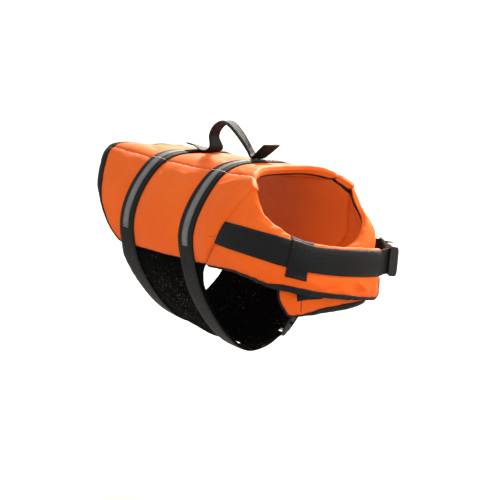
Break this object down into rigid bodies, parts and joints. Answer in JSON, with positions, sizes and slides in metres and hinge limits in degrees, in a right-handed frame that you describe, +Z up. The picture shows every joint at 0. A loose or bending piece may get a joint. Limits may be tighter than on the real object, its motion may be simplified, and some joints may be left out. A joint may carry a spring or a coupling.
{
  "type": "dog life jacket",
  "caption": "Padded flotation jacket for a small dog, with wrap-round chest flaps, belly mesh, buckled girth and chest straps, reflective tape and a carrying handle.",
  "frame": {"origin": "on the centreline under the back pad, below the front girth strap, where the jacket rests on the wearer's back", "axes": "+X towards the head, +Y to the wearer's left, +Z up"},
  "size_m": [0.3347, 0.1917, 0.222],
  "materials": {
    "orange_nylon": "woven nylon with a slight sheen, quilted over foam",
    "black_webbing": "flat woven webbing",
    "black_binding": "folded binding tape, stitched",
    "black_mesh": "open knitted mesh",
    "reflective_tape": "grey retro-reflective tape",
    "black_plastic": "moulded acetal, satin"
  },
  "bodies": {
    "root": {"back_panel": "orange_nylon", "side_panel_right": "orange_nylon", "side_panel_left": "orange_nylon", "chest_flap_right": "orange_nylon", "chest_flap_left": "orange_nylon", "belly_mesh_right": "black_mesh", "belly_mesh_left": "black_mesh", "girth_strap_front": "black_webbing", "girth_strap_rear": "black_webbing", "reflective_tape_front": "reflective_tape", "reflective_tape_rear": "reflective_tape", "chest_strap_right": "black_webbing", "chest_strap_left": "black_webbing", "chest_strap_keeper": "black_webbing", "hook_patch": "black_binding", "rear_binding": "black_binding", "flap_binding_right": "black_binding", "flap_binding_left": "black_binding", "neck_binding_back": "black_binding", "neck_binding_left": "black_binding", "neck_binding_right": "black_binding", "carry_handle": "black_webbing", "chest_buckle_socket": "black_plastic", "chest_buckle_plug": "black_plastic", "belly_buckle_front_socket": "black_plastic", "belly_buckle_front_plug": "black_plastic", "belly_buckle_rear_socket": "black_plastic", "belly_buckle_rear_plug": "black_plastic"}
  },
  "joints": []
}
